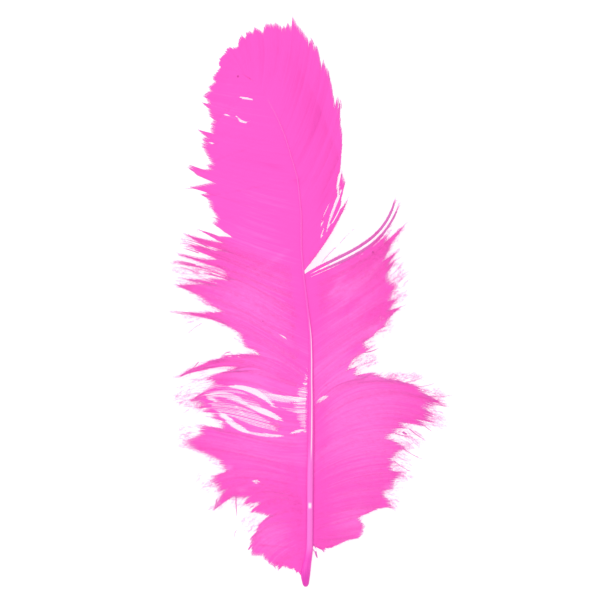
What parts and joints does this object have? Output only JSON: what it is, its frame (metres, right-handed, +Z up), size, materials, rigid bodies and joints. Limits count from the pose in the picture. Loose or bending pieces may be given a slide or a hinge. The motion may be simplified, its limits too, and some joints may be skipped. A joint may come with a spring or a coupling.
{
  "type": "feather",
  "caption": "Broad dyed feather with a bent tapered shaft, a closed upper vane and loose, torn downy lobes towards the stem, lying flat.",
  "frame": {"origin": "middle of the feather's bounding rectangle, on the surface it lies on", "axes": "+Y along the feather towards its tip, +Z up from the surface, +X to the right of the feather seen from above"},
  "size_m": [0.0773, 0.1598, 0.0057],
  "materials": {
    "dyed_feather": "soft matt dyed keratin with a faint sheen"
  },
  "bodies": {
    "root": {"feather": "dyed_feather"}
  },
  "joints": []
}
